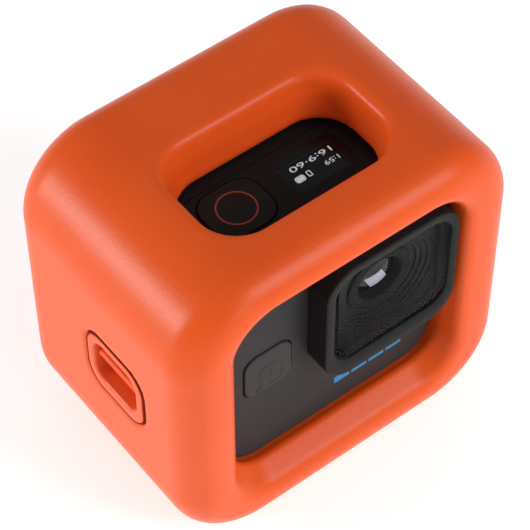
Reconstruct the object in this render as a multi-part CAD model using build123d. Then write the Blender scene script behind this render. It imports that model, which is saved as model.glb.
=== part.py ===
from build123d import *
import os

# A cube-shaped action camera in a one-piece foam float case, in millimetres.
# X runs to the right as seen from the front, the lens looks along -Y, and Z is up.
# The origin is the centre of the case's underside.

# ---- Float case: a rounded square block with a window on every side the camera needs ----
CASE_W, CASE_D, CASE_H = 80.4, 58.2, 76.0
CASE_EDGE_R = 18.4          # the four long edges, which run front to back
FRONT_FILLET = 7.4
BACK_FILLET = 7.8
FOAM_FIT = 0.5              # gap between the camera and the foam
TOP_RIM_W, TOP_RIM_D, TOP_RIM_R = 42.8, 26.0, 11.0          # top window, at the case's skin
TOP_THROAT_W, TOP_THROAT_D, TOP_THROAT_R = 40.2, 20.4, 8.5  # and down at the camera
FRONT_RIM_R, FRONT_THROAT_R = 11.0, 8.0
MOUTH_FLARE, MOUTH_DEPTH = 2.5, 6.0     # the back tunnel's mouth, per side

# ---- Camera body ----
CAM_W, CAM_D, CAM_H = 52.4, 32.0, 51.2
CAM_R = 7.5                 # corners seen from the front
CAM_EDGE = 1.2              # small round on the front and back outlines
CAM_BASE = 13.6             # height of the camera's underside
CAM_INSET = 6.9             # depth of the camera's face behind the case's face
WALL = 1.6
SEAL_T = 0.5                # gasket between the front shell and the back shell
BACK_T = 5.4                # thickness of the back shell
SCREW_R, SCREW_REACH = 0.9, 7.0         # shank, and its grip in the front shell
SCREW_HEAD_R, SCREW_HEAD_T, SCREW_SUNK = 1.7, 1.3, 1.6
BOSS_R, BOSS_LENGTH = 2.6, 9.0          # posts in the front shell that take the screws
SINK_W, SINK_BASE_T, SINK_DEPTH = 38.0, 1.4, 3.2        # cooling plates let into the back
RIB_T, RIB_H, RIB_COUNT = 1.2, 1.5, 12

# ---- Lens and its square cover ----
COVER_W, COVER_D, COVER_R = 32.8, 5.7, 7.0
COVER_SIDE = 0.1            # the cover stands this far in from the camera's right side
COVER_BAND, COVER_SILL = 2.2, 4.8       # frame seen around the glass, and below it
GLASS_T = 1.4
NECK_R, NECK_D = 10.0, 5.0  # neck of the lens housing, through the front wall
SENSOR_BOARD = 14.0
BARREL_R, BARREL_D = 7.6, 10.0
IRIS_R = 5.4
REAR_LENS_R, SEAT_R = 4.6, 3.6
COVER_GAP = 0.1             # between the cover and the camera's face
DASH_W, DASH_H, DASH_GAP = 3.95, 2.0, 0.53      # coloured bars below the lens

# ---- Buttons ----
SHUTTER_W, SHUTTER_D, SHUTTER_R = 14.0, 12.6, 4.5
SHUTTER_X, SHUTTER_Y = -9.0, -3.2
SHUTTER_PROUD, SHUTTER_TRAVEL = 0.3, 0.6
RING_R = 4.2                # thin ring on top of the shutter button
STATUS_W, STATUS_H, STATUS_R = 11.4, 12.0, 3.0
STATUS_RISE = 26.7
STATUS_PROUD, STATUS_TRAVEL = 0.4, 0.5
BUTTON_GAP = 0.25
FLANGE, FLANGE_T = 0.9, 0.8     # rim behind the wall that keeps a button in

# ---- Status screen, on top ----
SCREEN_W, SCREEN_D, SCREEN_R = 15.0, 9.4, 1.8
SCREEN_X, SCREEN_Y = 10.0, -3.3
SCREEN_T = 0.8

# ---- Side door, hinged at its lower edge ----
DOOR_D, DOOR_H, DOOR_T = 20.0, 21.5, 1.8
DOOR_Y = -7.5               # middle of the door
DOOR_GAP = 0.15
BAY_DEPTH = 3.2
DOOR_PIN_R = 0.5
PORT_Y, CARD_Y = -13.9, -10.7
LATCH_W, LATCH_H, LATCH_TRAVEL = 8.0, 5.0, 2.0
CARD_PUSH = 0.8

# ---- Folding mounting fingers, two below and two behind ----
FINGER_T, FINGER_W = 3.0, 15.0
FINGER_REACH = 9.5          # hinge pin to screw hole
FINGER_HOLE_R = 2.6
FINGER_PIN_R, FINGER_PIN_GRIP = 0.6, 1.0    # each end of the pin sits this far in the shell
FINGER_GAP = 3.4            # space between an unfolded pair
RUNNING = 0.05              # radial clearance of a turning pin

# ---- Battery cell and boards ----
CELL_W, CELL_T = 35.0, 9.0
BOARD_W, BOARD_T = 37.0, 1.2
SMALL_BOARD_T = 0.8
CHIP_SIZE, CHIP_T = 14.0, 1.4
SPREADER_W, SPREADER_T, SPREADER_SUNK = 34.0, 2.3, 0.9     # part of it lies in the back shell

# ---- Tether anchor, a hard insert in the case's left side ----
ANCHOR_D, ANCHOR_H, ANCHOR_R = 18.5, 16.2, 5.0
ANCHOR_Y = -4.75
RECESS_D, RECESS_H, RECESS_DEPTH = 13.5, 10.0, 6.6
BAR_T, BAR_INSET = 3.0, 0.8

# ---- Places worked out from the sizes above ----
CASE_FRONT, CASE_BACK = -CASE_D / 2, CASE_D / 2
CAM_FRONT = CASE_FRONT + CAM_INSET
CAM_BACK = CAM_FRONT + CAM_D
CAM_Y = (CAM_FRONT + CAM_BACK) / 2
CAM_TOP = CAM_BASE + CAM_H
CAM_Z = (CAM_BASE + CAM_TOP) / 2
SIDE_WALL = (CASE_W - CAM_W) / 2 - FOAM_FIT
LENS_X = CAM_W / 2 - COVER_SIDE - COVER_W / 2
COVER_Z = CAM_TOP - COVER_W / 2
LENS_Z = COVER_Z + (COVER_SILL - COVER_BAND) / 2
STATUS_X = (LENS_X - COVER_W / 2 - CAM_W / 2) / 2     # midway between the cover and the left side
GLASS_W, GLASS_H = COVER_W - 2 * COVER_BAND, COVER_W - COVER_BAND - COVER_SILL
SPLIT_Y = CAM_BACK - BACK_T         # where the back shell starts
FRONT_END = SPLIT_Y - SEAL_T        # where the front shell ends
FLOOR_Z = CAM_BASE + FINGER_T + 1.8     # inside floor, above the folded fingers
CEILING_Z = CAM_TOP - WALL
INNER_LEFT = -CAM_W / 2 + WALL
INNER_RIGHT = CAM_W / 2 - DOOR_T - BAY_DEPTH - 1.2
INNER_FRONT = CAM_FRONT + WALL
COVER_BACK = CAM_FRONT - COVER_GAP
COVER_FRONT = COVER_BACK - COVER_D
SINK_BACK = CAM_BACK - SINK_DEPTH + SINK_BASE_T     # where the ribs stand up from the plate
BOARD_FRONT = SPLIT_Y + SPREADER_SUNK - SPREADER_T - CHIP_T - BOARD_T
SOCKET_Z = (FLOOR_Z + LENS_Z - SENSOR_BOARD / 2) / 2      # midway up to the sensor's board
DOOR_Z = SOCKET_Z + 1.35
DOOR_FACE = CAM_W / 2
DOOR_PIN_X = DOOR_FACE - DOOR_T / 2
DOOR_PIN_Z = DOOR_Z - DOOR_H / 2 + DOOR_T / 2
BAY_FLOOR = DOOR_FACE - DOOR_T - BAY_DEPTH
FINGER_PIN_X = FINGER_GAP / 2 + FINGER_T / 2
FINGER_DEEP = FINGER_T / 2 + 0.2    # hinge pin's depth below the camera's skin
LOW_PIN_Z = CAM_BASE + FINGER_DEEP
BACK_PIN_Y = CAM_BACK - FINGER_DEEP
STATUS_Z = CAM_BASE + STATUS_RISE
SCREW_X, SCREW_Z = CAM_W / 2 - 4.7, CAM_H / 2 - 5.1
ANCHOR_Z = CASE_H / 2
ANCHOR_FACE = -CASE_W / 2
BAY_MARGIN = 1.6                    # door edge that rests on the shell around the bay


# ---- Building blocks ----
def block(low, high):
    size = [b - a for a, b in zip(low, high)]
    middle = [(a + b) / 2 for a, b in zip(low, high)]
    return Pos(*middle) * Box(*size)


def slab_y(w, h, r, y0, y1, x=0.0, z=0.0):
    """A rounded rectangle seen from the front, from y0 back to y1."""
    face = Plane((x, y1, z), x_dir=(1, 0, 0), z_dir=(0, -1, 0))
    return extrude(face * RectangleRounded(w, h, r), y1 - y0)


def slab_x(d, h, r, x0, x1, y=0.0, z=0.0):
    """A rounded rectangle seen from the right, from x0 out to x1."""
    face = Plane((x0, y, z), x_dir=(0, 1, 0), z_dir=(1, 0, 0))
    return extrude(face * RectangleRounded(d, h, r), x1 - x0)


def slab_z(w, d, r, z0, z1, x=0.0, y=0.0):
    """A rounded rectangle seen from above, from z0 up to z1."""
    return extrude(Pos(x, y, z0) * RectangleRounded(w, d, r), z1 - z0)


def rod_y(r, y0, y1, x, z):
    return Pos(x, (y0 + y1) / 2, z) * Rot(90, 0, 0) * Cylinder(r, y1 - y0)


def rod_z(r, z0, z1, x, y):
    return Pos(x, y, (z0 + z1) / 2) * Cylinder(r, z1 - z0)


def turned(*points):
    """A ring or tube about the lens axis, from (radius, y) points."""
    profile = make_face(Polyline(*points, close=True))
    return Pos(LENS_X, 0, LENS_Z) * revolve(profile, axis=Axis.Y)


def save(name, shape):
    export_step(shape, f"parts/{name}.step")


# ---- Float case and tether anchor ----
def case_block():
    body = slab_y(CASE_W, CASE_H, CASE_EDGE_R, CASE_FRONT, CASE_BACK, z=CASE_H / 2)
    front_rim = body.faces().sort_by(Axis.Y)[0].edges()
    body = fillet(front_rim, FRONT_FILLET)
    back_rim = body.faces().sort_by(Axis.Y)[-1].edges()
    return fillet(back_rim, BACK_FILLET)


def front_window():
    """Opens towards the front. Its right and upper walls stand steep beside the lens cover."""
    outer_left, outer_right = -CAM_W / 2 - 3.1, CAM_W / 2 + 1.8
    outer_low, outer_high = CAM_BASE - 3.6, CAM_TOP + 3.7
    inner_left, inner_right = -CAM_W / 2 + 0.8, CAM_W / 2 + 0.5
    inner_low, inner_high = CAM_BASE + 0.8, CAM_TOP + 0.6
    inner_y = CAM_FRONT - FOAM_FIT

    def outline(left, right, low, high, r, y):
        face = Plane(((left + right) / 2, y, (low + high) / 2), x_dir=(1, 0, 0), z_dir=(0, -1, 0))
        return face * RectangleRounded(right - left, high - low, r)

    rim = outline(outer_left, outer_right, outer_low, outer_high, FRONT_RIM_R, CASE_FRONT)
    throat = outline(inner_left, inner_right, inner_low, inner_high, FRONT_THROAT_R, inner_y)
    step = slab_y(
        inner_right - inner_left, inner_high - inner_low, FRONT_THROAT_R, inner_y, CAM_FRONT + 1,
        (inner_left + inner_right) / 2, (inner_low + inner_high) / 2,
    )
    return loft([throat, rim]) + extrude(rim, 5.0) + step


def top_window():
    rim = Pos(-0.1, CAM_Y + 2.2, CASE_H) * RectangleRounded(TOP_RIM_W, TOP_RIM_D, TOP_RIM_R)
    throat = Pos(0, CAM_Y + 1.7, CAM_TOP) * RectangleRounded(TOP_THROAT_W, TOP_THROAT_D, TOP_THROAT_R)
    return loft([throat, rim]) + extrude(rim, 5.0) + extrude(throat, -2.0)


def back_tunnel():
    """The camera's way in and out, with a flared mouth."""
    w, h, r = CAM_W + 2 * FOAM_FIT, CAM_H + 2 * FOAM_FIT, CAM_R + FOAM_FIT
    straight = slab_y(w, h, r, CAM_FRONT - FOAM_FIT, CASE_BACK + 5, z=CAM_Z)
    mouth = Plane((0, CASE_BACK, CAM_Z), x_dir=(1, 0, 0), z_dir=(0, -1, 0))
    flare = loft([
        mouth * RectangleRounded(w + 2 * MOUTH_FLARE, h + 2 * MOUTH_FLARE, r + MOUTH_FLARE),
        mouth.offset(MOUTH_DEPTH) * RectangleRounded(w, h, r),
    ])
    return straight + flare


def low_window():
    width = 2 * (FINGER_PIN_X + FINGER_REACH + FINGER_W / 2 + 0.9)
    return slab_z(width, FINGER_W + 4.0, 6.0, -5, CAM_BASE, y=CAM_Y)


def side_window():
    inner_face = DOOR_FACE - DOOR_T - FOAM_FIT
    return slab_x(DOOR_D + 3.0, DOOR_H + 4.5, 4.5, inner_face, CASE_W / 2 + 5, DOOR_Y, DOOR_Z)


def anchor_plug():
    inner_face = ANCHOR_FACE + SIDE_WALL - 4.0
    return slab_x(ANCHOR_D, ANCHOR_H, ANCHOR_R, ANCHOR_FACE, inner_face, ANCHOR_Y, ANCHOR_Z)


def float_case():
    body = case_block()
    for cut in (back_tunnel(), front_window(), top_window(), low_window(), side_window()):
        body -= cut
    return body - anchor_plug()


def tether_anchor():
    floor = ANCHOR_FACE + RECESS_DEPTH
    recess = slab_x(RECESS_D, RECESS_H, 2.5, ANCHOR_FACE - 1, floor, ANCHOR_Y, ANCHOR_Z)
    bar_x = ANCHOR_FACE + BAR_INSET
    bar = block(
        (bar_x, ANCHOR_Y - RECESS_D / 2 - 0.5, ANCHOR_Z + 0.6 - BAR_T / 2),
        (bar_x + BAR_T, ANCHOR_Y + RECESS_D / 2 + 0.5, ANCHOR_Z + 0.6 + BAR_T / 2),
    )
    long_edges = bar.edges().filter_by(Axis.Y)
    return anchor_plug() - recess + fillet(long_edges, BAR_T * 0.3)


# ---- Folding fingers: modelled about their hinge pin, lying along +X ----
def finger_outline(grow=0.0):
    half = FINGER_W / 2 + grow
    plate = Pos(FINGER_REACH / 2, 0) * Rectangle(FINGER_REACH, 2 * half)
    return plate + Pos(FINGER_REACH, 0) * Circle(half)


def finger():
    plate = extrude(finger_outline(), FINGER_T / 2, both=True)
    knuckle = Rot(90, 0, 0) * Cylinder(FINGER_T / 2, FINGER_W)
    screw_hole = Pos(FINGER_REACH, 0, 0) * Cylinder(FINGER_HOLE_R, FINGER_T * 2)
    pin_hole = Rot(90, 0, 0) * Cylinder(FINGER_PIN_R + RUNNING, FINGER_W * 2)
    return plate + knuckle - screw_hole - pin_hole


def finger_pin():
    return Rot(90, 0, 0) * Cylinder(FINGER_PIN_R, FINGER_W + 2 * FINGER_PIN_GRIP)


def finger_pocket():
    """The hollow that the folded finger lies in, open on its outer side, which is -Z here."""
    deep = FINGER_T / 2 + 0.15
    hollow = extrude(Pos(0, 0, -deep - 5) * finger_outline(0.2), 2 * deep + 5)
    root = block((-FINGER_T / 2 - 0.1, -FINGER_W / 2 - 0.2, -deep - 5),
                 (0.5, FINGER_W / 2 + 0.2, deep))
    nail_notch = Pos(FINGER_REACH + FINGER_W / 2, 0, -deep) * Cylinder(3.0, 1.6)
    return hollow + root + nail_notch


def place_low(shape, side):
    placed = Pos(FINGER_PIN_X, CAM_Y, LOW_PIN_Z) * shape
    return placed if side == "right" else mirror(placed, about=Plane.YZ)


def place_back(shape, side):
    placed = Pos(FINGER_PIN_X, BACK_PIN_Y, CAM_Z) * Rot(90, 0, 0) * shape
    return placed if side == "right" else mirror(placed, about=Plane.YZ)


# ---- Camera shells ----
def screw_places():
    return [(sx * SCREW_X, CAM_Z + sz * SCREW_Z) for sx in (-1, 1) for sz in (-1, 1)]


def inner_hollow(y0, y1):
    return block((INNER_LEFT, y0, FLOOR_Z), (INNER_RIGHT, y1, CEILING_Z))


def front_shell():
    body = slab_y(CAM_W, CAM_H, CAM_R, CAM_FRONT, FRONT_END, z=CAM_Z)
    body = fillet(body.faces().sort_by(Axis.Y)[0].edges(), CAM_EDGE)
    hollow = inner_hollow(INNER_FRONT, FRONT_END)
    corners = hollow.edges().filter_by(Axis.Y).sort_by(Axis.X)
    hollow = fillet(corners[:2], CAM_R - WALL)
    for x, z in screw_places():
        hollow -= rod_y(BOSS_R, FRONT_END - BOSS_LENGTH, FRONT_END, x, z)
    body -= hollow
    for x, z in screw_places():
        body -= rod_y(SCREW_R, SPLIT_Y - SCREW_REACH, FRONT_END, x, z)
    body -= rod_y(NECK_R, CAM_FRONT - 1, CAM_FRONT + NECK_D, LENS_X, LENS_Z)
    body -= rod_y(BARREL_R, CAM_FRONT - 1, CAM_FRONT + BARREL_D, LENS_X, LENS_Z)
    body -= slab_z(SHUTTER_W + 2 * BUTTON_GAP, SHUTTER_D + 2 * BUTTON_GAP, SHUTTER_R + BUTTON_GAP,
                   CEILING_Z - 1, CAM_TOP + 1, SHUTTER_X, SHUTTER_Y)
    body -= slab_y(STATUS_W + 2 * BUTTON_GAP, STATUS_H + 2 * BUTTON_GAP, STATUS_R + BUTTON_GAP,
                   CAM_FRONT - 1, INNER_FRONT + 1, STATUS_X, STATUS_Z)
    body -= slab_z(SCREEN_W, SCREEN_D, SCREEN_R, CAM_TOP - SCREEN_T, CAM_TOP + 1, SCREEN_X, SCREEN_Y)
    body -= slab_z(SCREEN_W - 2.6, SCREEN_D - 2.2, 1.0, CEILING_Z - 1, CAM_TOP, SCREEN_X, SCREEN_Y)
    body -= door_seat() + port_bay()
    body -= port_block() + card_reader_block()
    body -= door_pin()
    for side in ("left", "right"):
        body -= place_low(finger_pocket(), side) + place_low(finger_pin(), side)
    for dash in accent_dashes():
        body -= dash
    return body


def heat_sink(z0, z1):
    """A metal plate with upright cooling ribs, let into the back shell."""
    half, first = SINK_W / 2, RIB_T / 2 - SINK_W / 2
    body = block((-half, CAM_BACK - SINK_DEPTH, z0), (half, SINK_BACK, z1))
    for i in range(RIB_COUNT):
        x = first - 2 * first * i / (RIB_COUNT - 1)
        body += block((x - RIB_T / 2, SINK_BACK, z0), (x + RIB_T / 2, SINK_BACK + RIB_H, z1))
    return body


def heat_sink_spans():
    clear = FINGER_W / 2 + 2.0
    reach = CAM_H / 2 - 4.0
    return {"upper": (CAM_Z + clear, CAM_Z + reach), "lower": (CAM_Z - reach, CAM_Z - clear)}


def back_shell():
    body = slab_y(CAM_W, CAM_H, CAM_R, SPLIT_Y, CAM_BACK, z=CAM_Z)
    body = fillet(body.faces().sort_by(Axis.Y)[-1].edges(), CAM_EDGE)
    body -= block((INNER_LEFT + 3, SPLIT_Y, FLOOR_Z + 3),
                  (INNER_RIGHT, SPLIT_Y + SPREADER_SUNK, CEILING_Z - 3))
    for x, z in screw_places():
        body -= rod_y(SCREW_R + 0.1, SPLIT_Y, CAM_BACK, x, z)
        body -= rod_y(SCREW_HEAD_R + 0.1, CAM_BACK - SCREW_SUNK, CAM_BACK + 1, x, z)
    for z0, z1 in heat_sink_spans().values():
        body -= block((-SINK_W / 2, CAM_BACK - SINK_DEPTH, z0), (SINK_W / 2, CAM_BACK + 1, z1))
    for side in ("left", "right"):
        body -= place_back(finger_pocket(), side) + place_back(finger_pin(), side)
    return body


def shell_seal():
    def plate(inset):
        return slab_y(CAM_W - 2 * inset, CAM_H - 2 * inset, CAM_R - inset, FRONT_END, SPLIT_Y, z=CAM_Z)

    return plate(0.4) - plate(1.4)


def back_screw(x, z):
    seat = CAM_BACK - SCREW_SUNK
    head = rod_y(SCREW_HEAD_R, seat, seat + SCREW_HEAD_T, x, z)
    shank = rod_y(SCREW_R, SPLIT_Y - SCREW_REACH, seat, x, z)
    socket = Plane((x, seat + SCREW_HEAD_T, z), x_dir=(1, 0, 0), z_dir=(0, -1, 0))
    return head + shank - extrude(socket * RegularPolygon(0.75, 6), 0.8)


def accent_dashes():
    """Short coloured bars let into the face below the lens."""
    start = LENS_X - 0.47 - 2 * DASH_W - 1.5 * DASH_GAP
    z = CAM_BASE + 7.2
    return [
        block((start + i * (DASH_W + DASH_GAP), CAM_FRONT - 0.05, z),
              (start + i * (DASH_W + DASH_GAP) + DASH_W, CAM_FRONT + 0.4, z + DASH_H))
        for i in range(4)
    ]


# ---- Lens, sensor and cover ----
def lens_housing():
    """The square boss under the cover and the neck that goes through the front shell."""
    boss = slab_y(GLASS_W, GLASS_H, 5.0, CAM_FRONT - 3.2, CAM_FRONT, LENS_X, LENS_Z)
    neck = rod_y(NECK_R, CAM_FRONT, CAM_FRONT + NECK_D, LENS_X, LENS_Z)
    rim = GLASS_H / 2 - 0.3
    dish = turned((0, CAM_FRONT - 3.3), (rim, CAM_FRONT - 3.3), (rim - 1.4, CAM_FRONT - 2.2),
                  (8.4, CAM_FRONT - 1.4), (BARREL_R, CAM_FRONT - 1.4), (0, CAM_FRONT - 1.4))
    bore = rod_y(BARREL_R, CAM_FRONT - 3, CAM_FRONT + NECK_D + 1, LENS_X, LENS_Z)
    return boss + neck - dish - bore


def lens_barrel():
    front, back = CAM_FRONT - 1.5, CAM_FRONT + BARREL_D
    return turned((IRIS_R, front), (BARREL_R, front), (BARREL_R, back), (SEAT_R, back),
                  (SEAT_R, back - 1.2), (REAR_LENS_R, back - 1.2), (REAR_LENS_R, front + 4.2),
                  (IRIS_R, front + 4.2))


def lens_ring():
    front = CAM_FRONT - 1.9
    return turned((IRIS_R + 0.9, front), (BARREL_R + 0.25, front), (BARREL_R + 0.25, front + 0.4),
                  (IRIS_R, front + 0.4))


def lens_element(r, curve, y0, y1):
    """A lens of radius r whose front is domed to the given radius of curvature."""
    sag = curve - (curve**2 - r**2) ** 0.5
    middle = curve - (curve**2 - (r / 2) ** 2) ** 0.5
    outline = ThreePointArc((0, y0), (r / 2, y0 + middle), (r, y0 + sag))
    outline += Polyline((r, y0 + sag), (r, y1), (0, y1), (0, y0))
    return Pos(LENS_X, 0, LENS_Z) * revolve(make_face(outline), axis=Axis.Y)


def sensor_board():
    y0, half = CAM_FRONT + BARREL_D + 1.2, SENSOR_BOARD / 2
    return block((LENS_X - half, y0, LENS_Z - half), (LENS_X + half, y0 + SMALL_BOARD_T, LENS_Z + half))


def image_sensor():
    y0 = CAM_FRONT + BARREL_D
    return block((LENS_X - 5, y0, LENS_Z - 4), (LENS_X + 5, y0 + 1.2, LENS_Z + 4))


def cover_frame():
    body = slab_y(COVER_W, COVER_W, COVER_R, COVER_FRONT, COVER_BACK, LENS_X, COVER_Z)
    body = fillet(body.faces().sort_by(Axis.Y)[0].edges(), 0.8)
    seat = COVER_FRONT + GLASS_T + 0.1
    body -= slab_y(GLASS_W, GLASS_H, 5.0, COVER_FRONT - 1, seat, LENS_X, LENS_Z)
    body -= slab_y(GLASS_W - 2.6, GLASS_H - 2.6, 4.0, COVER_FRONT, COVER_BACK, LENS_X, LENS_Z)
    body -= slab_y(GLASS_W + 0.6, GLASS_H + 0.6, 5.3, CAM_FRONT - 3.4, COVER_BACK, LENS_X, LENS_Z)
    return body - cover_seal()


def cover_glass():
    y0 = COVER_FRONT + 0.1
    return slab_y(GLASS_W, GLASS_H, 5.0, y0, y0 + GLASS_T, LENS_X, LENS_Z)


def cover_seal():
    front, w, h = COVER_BACK - 0.6, GLASS_W + 2.2, GLASS_H + 2.2
    ring = slab_y(w, h, 6.0, front, COVER_BACK, LENS_X, LENS_Z)
    return ring - slab_y(w - 1.2, h - 1.2, 5.4, front, COVER_BACK, LENS_X, LENS_Z)


# ---- Buttons and screen ----
def shutter_button():
    top = CAM_TOP + SHUTTER_PROUD
    cap = slab_z(SHUTTER_W, SHUTTER_D, SHUTTER_R, CEILING_Z - 0.1, top, SHUTTER_X, SHUTTER_Y)
    cap = fillet(cap.faces().sort_by(Axis.Z)[-1].edges(), 0.35)
    under = CEILING_Z - 0.1
    flange = slab_z(SHUTTER_W + 2 * FLANGE, SHUTTER_D + 2 * FLANGE, SHUTTER_R + FLANGE,
                    under - FLANGE_T, under, SHUTTER_X, SHUTTER_Y)
    return cap + flange - shutter_ring()


def shutter_ring():
    top = CAM_TOP + SHUTTER_PROUD
    outer = rod_z(RING_R, top - 0.3, top, SHUTTER_X, SHUTTER_Y)
    return outer - rod_z(RING_R - 0.35, top - 0.3, top, SHUTTER_X, SHUTTER_Y)


def shutter_switch():
    low = CEILING_Z - 0.1 - FLANGE_T - SHUTTER_TRAVEL
    plunger = rod_z(1.5, low - 0.7, low, SHUTTER_X, SHUTTER_Y)
    return plunger + slab_z(6.0, 6.0, 0.5, low - 1.9, low - 0.7, SHUTTER_X, SHUTTER_Y)


def button_board():
    top = CEILING_Z - 0.1 - FLANGE_T - SHUTTER_TRAVEL - 1.9
    return block((SHUTTER_X - 6, INNER_FRONT, top - SMALL_BOARD_T),
                 (SHUTTER_X + 6, SHUTTER_Y + 4.5, top))


def status_button():
    front, back = CAM_FRONT - STATUS_PROUD, INNER_FRONT + 0.1
    cap = slab_y(STATUS_W, STATUS_H, STATUS_R, front, back, STATUS_X, STATUS_Z)
    cap = fillet(cap.faces().sort_by(Axis.Y)[0].edges(), 0.35)
    flange = slab_y(STATUS_W + 2 * FLANGE, STATUS_H + 2 * FLANGE, STATUS_R + FLANGE,
                    back, back + FLANGE_T, STATUS_X, STATUS_Z)
    return cap + flange


def status_switch():
    front = INNER_FRONT + 0.1 + FLANGE_T + STATUS_TRAVEL
    plunger = rod_y(1.5, front, front + 0.7, STATUS_X, STATUS_Z)
    return plunger + slab_y(6.0, 6.0, 0.5, front + 0.7, front + 1.9, STATUS_X, STATUS_Z)


def status_board():
    front = INNER_FRONT + 0.1 + FLANGE_T + STATUS_TRAVEL + 1.9
    half = STATUS_H / 2
    return block((INNER_LEFT, front, STATUS_Z - half),
                 (STATUS_X + 6, front + SMALL_BOARD_T, STATUS_Z + half))


def status_glass():
    return slab_z(SCREEN_W, SCREEN_D, SCREEN_R, CAM_TOP - SCREEN_T, CAM_TOP, SCREEN_X, SCREEN_Y)


def status_panel():
    return slab_z(SCREEN_W - 0.8, SCREEN_D - 0.8, 0.8, CEILING_Z - 1.2, CEILING_Z, SCREEN_X, SCREEN_Y)


# ---- Side door and what it covers ----
def door_outline(grow=0.0):
    """Square at the hinged lower edge, rounded at the upper corners. Local x is Y, local y is Z."""
    d, h = DOOR_D + 2 * grow, DOOR_H + 2 * grow
    lower = Pos(0, -h / 4) * Rectangle(d, h / 2)
    return RectangleRounded(d, h, 3.0 + grow) + lower


def door_slab(x0, x1, grow=0.0):
    face = Plane((x0, DOOR_Y, DOOR_Z), x_dir=(0, 1, 0), z_dir=(1, 0, 0))
    return extrude(face * door_outline(grow), x1 - x0)


def door_seat():
    return door_slab(DOOR_FACE - DOOR_T - 0.1, DOOR_FACE + 2, DOOR_GAP)


def port_bay():
    inset = 2 * BAY_MARGIN
    return slab_x(DOOR_D - inset, DOOR_H - inset - 0.8, 2.5, BAY_FLOOR, DOOR_FACE,
                  DOOR_Y, DOOR_Z + 0.4)


def door_pin():
    reach = DOOR_D / 2 + 1.2
    return rod_y(DOOR_PIN_R, DOOR_Y - reach, DOOR_Y + reach, DOOR_PIN_X, DOOR_PIN_Z)


def latch_pocket():
    top = DOOR_Z + DOOR_H / 2 - 1.0
    return block((DOOR_FACE - 1.0, DOOR_Y - LATCH_W / 2 - 0.15, top - LATCH_H - LATCH_TRAVEL - 0.2),
                 (DOOR_FACE + 1, DOOR_Y + LATCH_W / 2 + 0.15, top + 0.1))


def door_panel():
    body = door_slab(DOOR_FACE - DOOR_T, DOOR_FACE)
    foot = block((DOOR_FACE - DOOR_T - 1, DOOR_Y - DOOR_D, DOOR_PIN_Z - DOOR_T),
                 (DOOR_FACE + 1, DOOR_Y + DOOR_D, DOOR_PIN_Z))
    rounded = rod_y(DOOR_T / 2, DOOR_Y - DOOR_D / 2, DOOR_Y + DOOR_D / 2, DOOR_PIN_X, DOOR_PIN_Z)
    pin_way = rod_y(DOOR_PIN_R + RUNNING, DOOR_Y - DOOR_D, DOOR_Y + DOOR_D, DOOR_PIN_X, DOOR_PIN_Z)
    return body - foot + rounded - pin_way - latch_pocket()


def door_latch():
    top = DOOR_Z + DOOR_H / 2 - 1.0
    pad = block((DOOR_FACE - 1.0, DOOR_Y - LATCH_W / 2, top - LATCH_H),
                (DOOR_FACE - 0.3, DOOR_Y + LATCH_W / 2, top))
    for i in range(4):
        z = top - 0.8 - i * 1.1
        pad += block((DOOR_FACE - 0.3, DOOR_Y - 3.2, z - 0.3), (DOOR_FACE, DOOR_Y + 3.2, z + 0.3))
    return pad


def door_seal():
    d, h = DOOR_D - 2 * BAY_MARGIN - 0.6, DOOR_H - 2 * BAY_MARGIN - 1.6
    inner, outer = DOOR_FACE - DOOR_T - 1.0, DOOR_FACE - DOOR_T
    ring = slab_x(d, h, 2.2, inner, outer, DOOR_Y, DOOR_Z + 0.4)
    return ring - slab_x(d - 2.0, h - 2.0, 1.4, inner, outer, DOOR_Y, DOOR_Z + 0.4)


def port_block():
    """The outside of the charging socket."""
    return slab_x(3.3, 9.0, 1.6, BAY_FLOOR - 5.5, BAY_FLOOR + 1.6, PORT_Y, SOCKET_Z)


def charging_port():
    bore = slab_x(2.6, 8.3, 1.25, BAY_FLOOR - 4.6, BAY_FLOOR + 2, PORT_Y, SOCKET_Z)
    tongue = block((BAY_FLOOR - 4.6, PORT_Y - 0.35, SOCKET_Z - 3.3),
                   (BAY_FLOOR + 0.9, PORT_Y + 0.35, SOCKET_Z + 3.3))
    return port_block() - bore + tongue


def card_reader_block():
    return block((BAY_FLOOR - 15.5, CARD_Y - 0.95, SOCKET_Z - 6.3),
                 (BAY_FLOOR, CARD_Y + 0.95, SOCKET_Z + 6.3))


def card_slot():
    return block((BAY_FLOOR - 13.8 - CARD_PUSH - 0.2, CARD_Y - 0.6, SOCKET_Z - 5.6),
                 (BAY_FLOOR + 1, CARD_Y + 0.6, SOCKET_Z + 5.6))


def memory_card():
    return block((BAY_FLOOR - 13.8, CARD_Y - 0.5, SOCKET_Z - 5.5),
                 (BAY_FLOOR + 1.2, CARD_Y + 0.5, SOCKET_Z + 5.5))


# ---- Inside parts ----
def battery():
    back = BOARD_FRONT - 0.8
    body = block((-CELL_W / 2, back - CELL_T, FLOOR_Z + 3.6), (CELL_W / 2, back, CEILING_Z - 8.2))
    return fillet(body.edges().filter_by(Axis.Z), 2.0)


def main_board():
    half = BOARD_W / 2
    return block((-half, BOARD_FRONT, FLOOR_Z + 2.2), (half, BOARD_FRONT + BOARD_T, CEILING_Z - 4.5))


def processor():
    front, half = BOARD_FRONT + BOARD_T, CHIP_SIZE / 2
    return block((-half, front, CAM_Z - half), (half, front + CHIP_T, CAM_Z + half))


def heat_spreader():
    front, half = BOARD_FRONT + BOARD_T + CHIP_T, SPREADER_W / 2
    return block((-half, front, FLOOR_Z + 3.8), (half, front + SPREADER_T, CEILING_Z - 7.0))


def battery_pad():
    """Foam tape between the cell and the board."""
    return block((-12, BOARD_FRONT - 0.8, FLOOR_Z + 8), (12, BOARD_FRONT, CEILING_Z - 12.8))


def speaker():
    front = INNER_FRONT
    return slab_y(11.0, 7.0, 1.5, front, front + 3.6, STATUS_X, FLOOR_Z + 5.0)


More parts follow.
